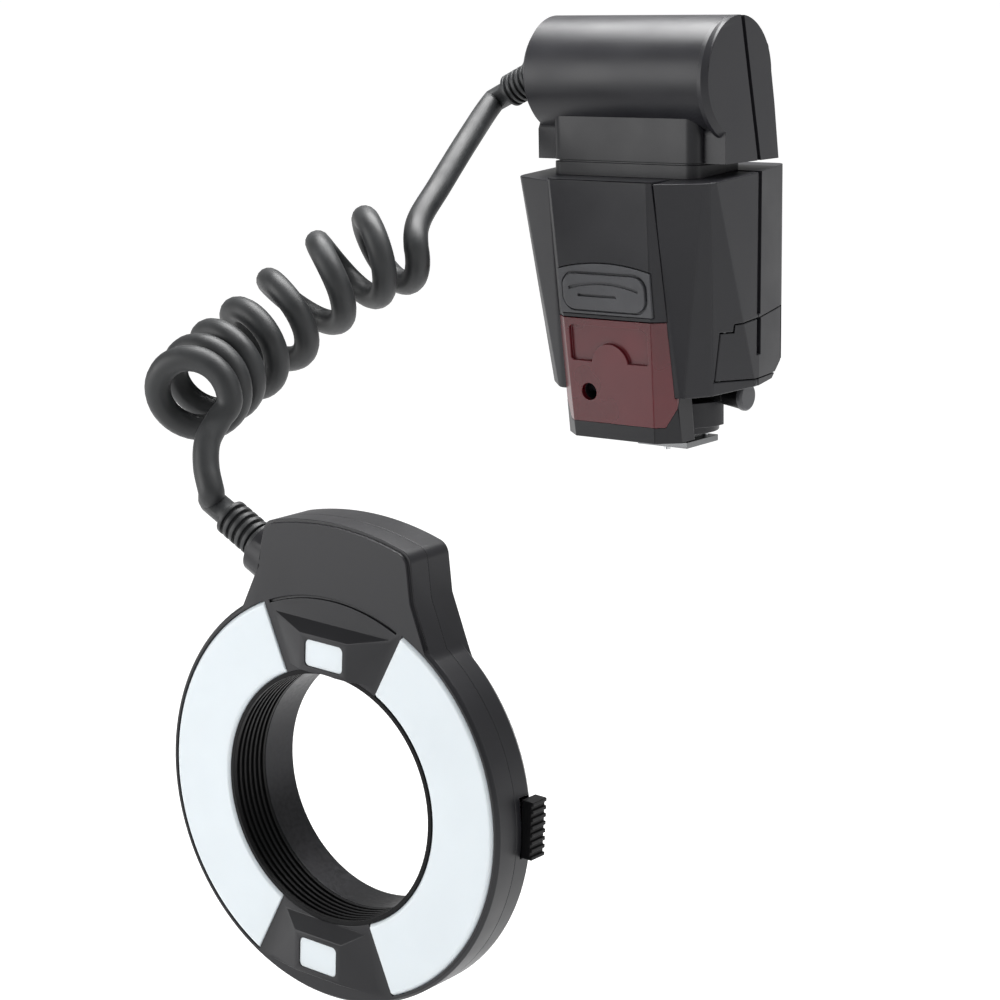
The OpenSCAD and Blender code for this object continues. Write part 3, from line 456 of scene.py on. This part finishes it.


# Cord: leads through listed points, curls as a left-handed helix along an axis, in metres
UPPER_LEAD = [(-0.0465, -0.0455, 0.0965), (-0.0425, -0.0650, 0.0840), (-0.0390, -0.0795, 0.0750)]
CURL_AXIS = [(-0.0445, -0.0810, 0.0680), (-0.0495, -0.0900, 0.0645), (-0.0570, -0.1020, 0.0575),
             (-0.0625, -0.1150, 0.0480), (-0.0645, -0.1275, 0.0410), (-0.0650, -0.1390, 0.0360),
             (-0.0625, -0.1495, 0.0330), (-0.0580, -0.1590, 0.0310)]
LOWER_LEAD = [(-0.0495, -0.1570, 0.0260), (-0.0495, -0.1620, 0.0205),
              (-0.0475, -0.1650, 0.0140), (-0.0445, -0.1665, 0.0075)]
CURL_STEPS = 40
LEAD_STEPS = 10
# Turn of the helix where the curls start
CURL_START = -pi / 2
# Step along the axis, in its own points, that gives its direction
AXIS_STEP = 0.01
# Step along a curl that gives its direction, and how many of them a lead is guided by
CURL_STEP = 0.02
GUIDE_STEPS = 8
# Gland of the head: its seat in the part's frame, its tilt below the level and its length
HEAD_SEAT = Vector((-0.034, -0.025, 0.1155))
HEAD_GLAND_TILT = radians(25)
HEAD_GLAND_LENGTH = 0.012
# The ring's own frame: its turn, and where its back and its axis lie
RING_TURN = radians(3.7)
RING_BACK = 0.1546
RING_AXIS_Z = -0.0711
# Gland of the ring: its boss, turn and length in the ring's own frame
RING_BOSS = (-0.0240, 0.0598, 0.0100)
RING_GLAND_TURN = radians(155)
RING_GLAND_LENGTH = 0.022
# Return springs, in the ring's own frame, with the radius of their wire
SPRING_SEAT = 0.0542
SPRING_UP = -0.009
SPRING_LEVELS = {"right": 0.00225, "left": 0.00365}
SPRING_LENGTH = 0.0044
SPRING_RADIUS = 0.00062
SPRING_WIRE = 0.00017
SPRING_TURNS = 6
SPRING_STEPS = 18
WIRE_SIDES = 8
# Places of the screws: the ring's in its own frame, the others under the foot and the body
RING_SCREW_CIRCLE = 0.0529
RING_SCREW_ANGLES = [radians(angle) for angle in range(30, 360, 60)]
RING_SCREWS = [(RING_SCREW_CIRCLE * cos(angle), RING_SCREW_CIRCLE * sin(angle))
               for angle in RING_SCREW_ANGLES]
FOOT_SCREWS = [(x, y) for x in (-0.0066, 0.0066) for y in (-0.0055, 0.0060)]
BODY_SCREWS = [(-0.0235, -0.0265), (0.0235, -0.0265)]
# Level of the outer face of each kind of screw, ahead of the ring's back or up from the foot
RING_SCREW_LEVEL = 0.1 * MM
FOOT_SCREW_LEVEL = 0.1 * MM
BODY_SCREW_LEVEL = 20.5 * MM
# Head radius, head height and shaft length of each kind of screw
RING_SCREW_SIZE = (1.8 * MM, 0.9 * MM, 3.0 * MM)
FOOT_SCREW_SIZE = (1.7 * MM, 0.7 * MM, 7.8 * MM)
BODY_SCREW_SIZE = (2.0 * MM, 0.9 * MM, 3.3 * MM)
SCREW_SIDES = 24
SHAFT_SIDES = 16
# Rim, arm length and arm half width of a cross recess, as shares of the head's radius
CROSS_RIM = 0.2
CROSS_REACH = 0.62
CROSS_HALF = 0.16
# Depth of the recess, as a share of the head's height
CROSS_DEPTH = 0.6
# Plus and minus marks: a bar across, and two short bars above and below it
MARK_DEPTH = 0.2 * MM
MARK_BAR = 0.6 * MM
MARK_WIDTH = 2.6 * MM
MARK_ARM = 1.0 * MM
MARK_ARM_SHIFT = 0.8 * MM


def ring_point(across, up, ahead):
    """A point of the ring's own frame in the part's frame."""
    cosine = cos(RING_TURN)
    sine = sin(RING_TURN)
    return Vector((across * cosine + up * sine, -RING_BACK - ahead,
                   up * cosine - across * sine + RING_AXIS_Z))


def glide(a, b, c, d, t):
    """Smooth curve from b to c, with a before and d after."""
    return 0.5 * (2 * b + (c - a) * t + (2 * a - 5 * b + 4 * c - d) * t ** 2
                  + (3 * b - a - 3 * c + d) * t ** 3)


def run_points(points, steps):
    """Points of a smooth run through all but the first and last of some points."""
    spans = [points[first:first + 4] for first in range(len(points) - 3)]
    return [glide(*span, step / steps) for span in spans for step in range(steps)]


def axis_point(u):
    """The curls' axis at u, counted in its own points."""
    points = [Vector(p) for p in CURL_AXIS]
    points = [2 * points[0] - points[1], *points, 2 * points[-1] - points[-2]]
    span = min(int(u), len(CURL_AXIS) - 2)
    return glide(*points[span:span + 4], u - span)


def curl_point(n, curls, radius):
    """The cord's middle line n curls from the head."""
    last = len(CURL_AXIS) - 1
    u = last * n / curls
    ahead = axis_point(min(u + AXIS_STEP, last))
    behind = axis_point(max(u - AXIS_STEP, 0.0))
    along = (ahead - behind).normalized()
    up = (Vector((0, 0, 1)) - along.z * along).normalized()
    side = along.cross(up)
    turn = CURL_START - tau * n
    return axis_point(u) + radius * (cos(turn) * up + sin(turn) * side)


def cord_route(diameter, radius, curls):
    """The whole middle line of the cord, from the head's gland to the ring's."""
    head_out = Vector((-cos(HEAD_GLAND_TILT), 0, -sin(HEAD_GLAND_TILT)))
    start = HEAD_SEAT + HEAD_GLAND_LENGTH * head_out
    ring_out = ring_point(cos(RING_GLAND_TURN), sin(RING_GLAND_TURN), 0) - ring_point(0, 0, 0)
    end = ring_point(*RING_BOSS) + RING_GLAND_LENGTH * ring_out
    first = curl_point(0, curls, radius)
    last = curl_point(curls, curls, radius)
    into = GUIDE_STEPS * (curl_point(CURL_STEP, curls, radius) - first)
    out_of = GUIDE_STEPS * (last - curl_point(curls - CURL_STEP, curls, radius))
    upper = [start, start + diameter * head_out, *map(Vector, UPPER_LEAD), first, first + into]
    lower = [last - out_of, last, *map(Vector, LOWER_LEAD), end + diameter * ring_out, end]
    curl = [curl_point(i / CURL_STEPS, curls, radius) for i in range(curls * CURL_STEPS)]
    return [start, *run_points(upper, LEAD_STEPS), *curl, *run_points(lower, LEAD_STEPS),
            end + diameter * ring_out, end]


def to_piece(name, bm, body, slot, *nodes):
    """A piece from a finished bmesh, with its faces turned outwards."""
    bmesh.ops.recalc_face_normals(bm, faces=bm.faces)
    mesh = bpy.data.meshes.new(name)
    bm.to_mesh(mesh)
    bm.free()
    return place_piece(name, mesh, body, slot, *nodes)


def cross_outline(reach, half):
    """Outline of a cross recess, corners and the middles between them, in order of angle."""
    corners = [(reach, -half), (reach, half), (half, half),
               (half, reach), (-half, reach), (-half, half),
               (-reach, half), (-reach, -half), (-half, -half),
               (-half, -reach), (half, -reach), (half, -half)]
    pairs = zip(corners, corners[1:] + corners[:1])
    points = [p for a, b in pairs for p in (a, ((a[0] + b[0]) / 2, (a[1] + b[1]) / 2))]
    return sorted(points, key=lambda p: atan2(p[1], p[0]))


def add_screw(bm, seat, radius, height, shaft):
    """A screw with a cross recess: seat is its place, with +Z out of the head."""
    into = Matrix.Translation((0, 0, -height / 2))
    made = bmesh.ops.create_cone(bm, cap_ends=True, segments=SCREW_SIDES, radius1=radius, radius2=radius,
                                 depth=height, matrix=seat @ into)
    below = Matrix.Translation((0, 0, -height - shaft / 2))
    bmesh.ops.create_cone(bm, cap_ends=True, segments=SHAFT_SIDES, radius1=radius / 2, radius2=radius / 2,
                          depth=shaft, matrix=seat @ below)
    out = seat.to_3x3() @ Vector((0, 0, 1))
    faces = {f for v in made["verts"] for f in v.link_faces}
    top = max(faces, key=lambda f: f.normal.dot(out) + (len(f.verts) == SCREW_SIDES))
    bmesh.ops.inset_individual(bm, faces=[top], thickness=radius * CROSS_RIM)
    back = seat.inverted()
    rim = sorted(top.verts, key=lambda v: atan2((back @ v.co).y, (back @ v.co).x))
    for vertex, (x, y) in zip(rim, cross_outline(radius * CROSS_REACH, radius * CROSS_HALF)):
        vertex.co = seat @ Vector((x, y, 0.0))
    floor = bmesh.ops.extrude_discrete_faces(bm, faces=[top])["faces"][0]
    bmesh.ops.translate(bm, verts=floor.verts, vec=-CROSS_DEPTH * height * out)


def coil_spring(side):
    """A wound return spring of the claw release, built at one fixed length; the real spring shortens as
    the button is pressed.
    """
    sign = 1 if side == "right" else -1
    level = SPRING_LEVELS[side]
    seat = ring_point(-sign * SPRING_SEAT, SPRING_UP, level)
    along = (ring_point(sign, 0, 0) - ring_point(0, 0, 0)).normalized()
    aside = Vector((0, -1, 0))
    steps = SPRING_TURNS * SPRING_STEPS
    bm = bmesh.new()
    start = seat + SPRING_WIRE * along + SPRING_RADIUS * aside
    facing = along.cross(aside).to_track_quat("Z", "Y")
    section = Matrix.Translation(start) @ facing.to_matrix().to_4x4()
    bmesh.ops.create_circle(bm, segments=WIRE_SIDES, radius=SPRING_WIRE, matrix=section)
    rise = (SPRING_LENGTH - 2 * SPRING_WIRE) / steps
    bmesh.ops.spin(bm, geom=bm.verts[:] + bm.edges[:], cent=seat, axis=along, dvec=rise * along,
                   angle=tau * SPRING_TURNS, steps=steps, use_merge=False, use_duplicate=False)
    bmesh.ops.holes_fill(bm, edges=[e for e in bm.edges if e.is_boundary], sides=WIRE_SIDES)
    for face in bm.faces:
        face.smooth = True
    node = side + "_claw_spring"
    piece = to_piece(node + "_coil", bm, BODY_OF[node], SLOT_OF[node], node)
    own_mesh(piece)


def button_mark(name, body, bars):
    """A raised mark on a back button, from bars given as middle, width and height."""
    bm = bmesh.new()
    for x, y, z, width, height in bars:
        place = Matrix.Translation((x, y, z)) @ Matrix.Diagonal((width, MARK_DEPTH, height, 1.0))
        bmesh.ops.create_cube(bm, size=1.0, matrix=place)
    to_piece(name, bm, body, "white_diffuser")


class RINGFLASH_OT_cord(bpy.types.Operator):
    """Curly cord from the controller's head to the ring"""

    bl_idname = "ring_flash.cord"
    bl_label = "Curly Cord"

    # Fineness of the cord's round section
    ROUNDNESS = 6

    def execute(self, context):
        sizes = settings().sizes
        route = cord_route(sizes.cord_diameter, sizes.curl_radius, sizes.curls)
        curve = bpy.data.curves.new("curly_cord", "CURVE")
        curve.dimensions = "3D"
        curve.bevel_depth = sizes.cord_diameter / 2
        curve.bevel_resolution = self.ROUNDNESS
        curve.use_fill_caps = True
        spline = curve.splines.new("POLY")
        spline.points.add(len(route) - 1)
        for point, place in zip(spline.points, route):
            point.co = (*place, 1.0)
        spline.use_smooth = True
        cord = place_piece("curly_cord", curve, BODY_OF["coiled_cord"], "cord_rubber", "coiled_cord")
        return {"FINISHED"}


class RINGFLASH_OT_body(bpy.types.Operator):
    """Body shells, spine, neck and base of the controller"""

    bl_idname = "ring_flash.body"
    bl_label = "Controller Body"

    def execute(self, context):
        sizes = settings().sizes
        for node in ("body_front_shell", "front_spine"):
            dress(node, sizes.housing_edge)
        dress("foot_base", sizes.small_edge)
        for node in ("body_back_shell", "grey_panel", "neck_collar"):
            dress(node, sizes.fine_edge)
        return {"FINISHED"}


class RINGFLASH_OT_red_window(bpy.types.Operator):
    """Red lamp window with the lamp behind it"""

    bl_idname = "ring_flash.red_window"
    bl_label = "Red Window"

    def execute(self, context):
        dress("red_window", settings().sizes.small_edge, join_flats=True)
        paint("focus_lamp")
        return {"FINISHED"}


class RINGFLASH_OT_head(bpy.types.Operator):
    """Head shells with the capacitor inside"""

    bl_idname = "ring_flash.head"
    bl_label = "Controller Head"

    def execute(self, context):
        for node in ("head_front_shell", "head_back_shell"):
            dress(node, settings().sizes.fine_edge / 2)
        paint("flash_capacitor")
        return {"FINISHED"}


class RINGFLASH_OT_battery(bpy.types.Operator):
    """Battery lid on its pin, with the pack and tray"""

    bl_idname = "ring_flash.battery"
    bl_label = "Battery Bay"

    def execute(self, context):
        edge = settings().sizes.small_edge
        for node in ("battery_door", "battery_pack", "battery_tray"):
            dress(node, edge)
        paint("door_pin")
        return {"FINISHED"}


class RINGFLASH_OT_controls(bpy.types.Operator):
    """Display, buttons and switch on the back"""

    bl_idname = "ring_flash.controls"
    bl_label = "Back Controls"

    def execute(self, context):
        edge = settings().sizes.small_edge
        for node in ("light_button", "mode_button", "select_button", "lamp_button", "minus_button",
                     "plus_button", "test_button", "power_switch", "display_window"):
            dress(node, edge, join_flats=True)
        paint("control_board", "display_panel")
        for node in ("minus_button", "plus_button"):
            low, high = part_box(node)
            x = (low[0] + high[0]) / 2
            y = high[1]
            z = (low[2] + high[2]) / 2
            bars = [(x, y, z, MARK_WIDTH, MARK_BAR)]
            if node == "plus_button":
                for shift in (-MARK_ARM_SHIFT, MARK_ARM_SHIFT):
                    bars.append((x, y, z + shift, MARK_BAR, MARK_ARM))
            button_mark(node + "_mark", BODY_OF[node], bars)
        return {"FINISHED"}


class RINGFLASH_OT_foot(bpy.types.Operator):
    """Shoe foot with its contacts, screws, lever and pin"""

    bl_idname = "ring_flash.foot"
    bl_label = "Shoe Foot"

    def execute(self, context):
        edge = settings().sizes.small_edge
        for node in ("shoe_foot", "lock_lever", "knob_cap", "contact_pins"):
            dress(node, edge)
        paint("lock_pin")
        down = Matrix.Rotation(pi, 4, "X")
        for node, places, level, size in (
                ("foot_screws", FOOT_SCREWS, FOOT_SCREW_LEVEL, FOOT_SCREW_SIZE),
                ("housing_screws", BODY_SCREWS, BODY_SCREW_LEVEL, BODY_SCREW_SIZE)):
            bm = bmesh.new()
            for x, y in places:
                add_screw(bm, Matrix.Translation((x, y, level)) @ down, *size)
            to_piece(node + "_cut", bm, BODY_OF[node], SLOT_OF[node], node)
        return {"FINISHED"}


class RINGFLASH_OT_ring_case(bpy.types.Operator):
    """Ring shells, baffle and screws"""

    bl_idname = "ring_flash.ring_case"
    bl_label = "Ring Case"

    def execute(self, context):
        sizes = settings().sizes
        dress("ring_front_shell", sizes.small_edge)
        dress("ring_back_shell", sizes.small_edge)
        dress("baffle_tube", sizes.fine_edge)
        backwards = Matrix.Rotation(-pi / 2, 4, "X")
        bm = bmesh.new()
        for across, up in RING_SCREWS:
            place = ring_point(across, up, RING_SCREW_LEVEL)
            add_screw(bm, Matrix.Translation(place) @ backwards, *RING_SCREW_SIZE)
        to_piece("ring_screws_cut", bm, BODY_OF["ring_screws"], SLOT_OF["ring_screws"], "ring_screws")
        paint("trigger_board")
        return {"FINISHED"}


class RINGFLASH_OT_lights(bpy.types.Operator):
    """Diffusers, lamp windows, reflectors and flash tubes"""

    bl_idname = "ring_flash.lights"
    bl_label = "Ring Lights"

    def execute(self, context):
        sizes = settings().sizes
        for node in ("right_diffuser", "left_diffuser"):
            dress(node, sizes.housing_edge)
        for node in ("top_lamp_window", "low_lamp_window"):
            dress(node, sizes.small_edge, join_flats=True)
        paint("right_reflector", "left_reflector", "right_flash_tube", "left_flash_tube", "lamp_bulbs")
        return {"FINISHED"}


class RINGFLASH_OT_release(bpy.types.Operator):
    """Release buttons with their claw plates and springs"""

    bl_idname = "ring_flash.release"
    bl_label = "Claw Release"

    def execute(self, context):
        for side in ("right", "left"):
            dress(side + "_release_button", settings().sizes.small_edge)
            dress(side + "_claw_plate", settings().sizes.small_edge / 2)
            coil_spring(side)
        return {"FINISHED"}


class RINGFLASH_OT_adapter(bpy.types.Operator):
    """Lens adapter ring"""

    bl_idname = "ring_flash.adapter"
    bl_label = "Lens Adapter"

    def execute(self, context):
        dress("adapter_ring", settings().sizes.small_edge)
        return {"FINISHED"}


class RINGFLASH_OT_glands(bpy.types.Operator):
    """Ribbed strain reliefs at both ends of the cord"""

    bl_idname = "ring_flash.glands"
    bl_label = "Cord Glands"

    def execute(self, context):
        for node in ("cord_gland_head", "cord_gland_ring"):
            dress(node, settings().sizes.small_edge)
        return {"FINISHED"}


def aim(place, target):
    """Matrix of a light at a place that faces a target."""
    turn = (Vector(target) - Vector(place)).to_track_quat("-Z", "Y")
    return Matrix.Translation(Vector(place)) @ turn.to_matrix().to_4x4()


class RINGFLASH_OT_stage(bpy.types.Operator):
    """Pale floor, soft studio light and the camera"""

    bl_idname = "ring_flash.stage"
    bl_label = "Studio Stage"

    # The point that the lights face
    MIDDLE = (0.0, -0.09, 0.0)
    # Name, place, width, depth and power of each soft light
    LIGHTS = (("overhead", (-0.02, 0.01, 0.40), 0.40, 0.26, 4.4),
              ("front_box", (-0.85, -1.15, 0.12), 1.0, 1.0, 13.5),
              ("right_box", (1.15, 0.05, 0.45), 0.5, 1.0, 2.0))
    # How far the camera is moved to its left, down, and towards the part's back
    SHIFT_LEFT = 0.05873
    SHIFT_DOWN = 0.01905
    SHIFT_BACK = 0.004
    SENSOR_WIDTH = 36.0
    FLOOR_SIZE = 90.0
    FLOOR_ROUGHNESS = 0.9

    def execute(self, context):
        stage = settings().stage
        self.add_camera(stage)
        self.add_floor(stage)
        for light in self.LIGHTS:
            self.add_light(*light)
        context.scene.world = self.make_world(stage.daylight)
        context.scene.view_settings.view_transform = "Standard"
        return {"FINISHED"}

    def make_world(self, daylight):
        """An even surround, shown as white behind the flash."""
        world = bpy.data.worlds.new("studio_white")
        world.use_nodes = True
        tree = world.node_tree
        surround = next(n for n in tree.nodes if n.type == "BACKGROUND")
        surround.inputs["Color"].default_value = WHITE
        path = add(tree, "ShaderNodeLightPath")
        level = add(tree, "ShaderNodeMapRange")
        level.inputs["To Min"].default_value = daylight
        tree.links.new(path.outputs["Is Camera Ray"], level.inputs["Value"])
        tree.links.new(level.outputs["Result"], surround.inputs["Strength"])
        return world

    def add_camera(self, stage):
        """The camera at the photograph's angle."""
        level = Vector((cos(stage.azimuth), sin(stage.azimuth), 0.0))
        inward = Vector((0.0, 0.0, 1.0)).cross(level)
        back = sin(stage.elevation) * Vector((0.0, 0.0, 1.0)) - cos(stage.elevation) * inward
        rise = back.cross(level)
        right = cos(stage.roll) * level - sin(stage.roll) * rise
        up = sin(stage.roll) * level + cos(stage.roll) * rise
        place = back * stage.distance - right * self.SHIFT_LEFT - up * self.SHIFT_DOWN
        place.y += self.SHIFT_BACK
        data = bpy.data.cameras.new("studio_camera")
        data.lens = stage.lens
        data.sensor_width = self.SENSOR_WIDTH
        camera = bpy.data.objects.new("studio_camera", data)
        bpy.context.scene.collection.objects.link(camera)
        turn = Matrix((right, up, back)).transposed()
        camera.matrix_world = Matrix.Translation(place) @ turn.to_4x4()
        bpy.context.scene.camera = camera

    def add_floor(self, stage):
        """A wide pale floor with a glow of its own, so that it shows nearly white."""
        mesh = bpy.data.meshes.new("studio_floor")
        bm = bmesh.new()
        bmesh.ops.create_grid(bm, x_segments=2, y_segments=2, size=self.FLOOR_SIZE / 2)
        bmesh.ops.translate(bm, verts=bm.verts, vec=(0.0, 0.0, stage.floor_level))
        bm.to_mesh(mesh)
        bm.free()
        material, tree, shader = blank_material("studio_paper")
        pale = tuple(settings().colours.backdrop)
        tone(tree, shader, noise(tree, scale=3.0, detail=2.0), pale, darkest=0.99, lightest=1.0)
        shader.inputs["Roughness"].default_value = self.FLOOR_ROUGHNESS
        shader.inputs["Emission Color"].default_value = WHITE
        shader.inputs["Emission Strength"].default_value = stage.floor_glow
        mesh.materials.append(material)
        floor = bpy.data.objects.new("studio_floor", mesh)
        bpy.context.scene.collection.objects.link(floor)

    def add_light(self, name, place, width, depth, power):
        """One soft box that faces the flash."""
        data = bpy.data.lights.new(name, "AREA")
        data.shape = "RECTANGLE"
        data.size = width
        data.size_y = depth
        data.energy = power
        light = bpy.data.objects.new(name, data)
        bpy.context.scene.collection.objects.link(light)
        light.matrix_world = aim(place, self.MIDDLE)


STEPS = (RINGFLASH_OT_stage, RINGFLASH_OT_cord, RINGFLASH_OT_body, RINGFLASH_OT_red_window,
         RINGFLASH_OT_head, RINGFLASH_OT_battery, RINGFLASH_OT_controls, RINGFLASH_OT_foot,
         RINGFLASH_OT_ring_case, RINGFLASH_OT_lights, RINGFLASH_OT_release, RINGFLASH_OT_adapter,
         RINGFLASH_OT_glands)


class RINGFLASH_PT_sidebar(bpy.types.Panel):
    """Settings and build steps of the ring flash"""

    bl_idname = "RINGFLASH_PT_sidebar"
    bl_label = "Ring Flash"
    bl_space_type = "VIEW_3D"
    bl_region_type = "UI"
    bl_category = "Ring Flash"

    def draw(self, context):
        for group in (settings().sizes, settings().colours, settings().stage):
            box = self.layout.box()
            for name in group.bl_rna.properties.keys():
                if name not in {"rna_type", "name"}:
                    box.prop(group, name)
        for step in STEPS:
            self.layout.operator(step.bl_idname)


CLASSES = (RingFlashSizes, RingFlashColours, RingFlashStage, RingFlashSettings, *STEPS,
           RINGFLASH_PT_sidebar)


def register():
    """Registers the classes and the settings."""
    for cls in CLASSES:
        bpy.utils.register_class(cls)
    bpy.types.Scene.ring_flash = PointerProperty(type=RingFlashSettings)


def unregister():
    """Takes the settings and the classes away again."""
    del bpy.types.Scene.ring_flash
    for cls in reversed(CLASSES):
        bpy.utils.unregister_class(cls)


def main():
    """Builds everything in order."""
    register()
    bpy.ops.ring_flash.stage()
    bpy.ops.ring_flash.cord()
    bpy.ops.ring_flash.body()
    bpy.ops.ring_flash.red_window()
    bpy.ops.ring_flash.head()
    bpy.ops.ring_flash.battery()
    bpy.ops.ring_flash.controls()
    bpy.ops.ring_flash.foot()
    bpy.ops.ring_flash.ring_case()
    bpy.ops.ring_flash.lights()
    bpy.ops.ring_flash.release()
    bpy.ops.ring_flash.adapter()
    bpy.ops.ring_flash.glands()


if __name__ == "__main__":
    main()
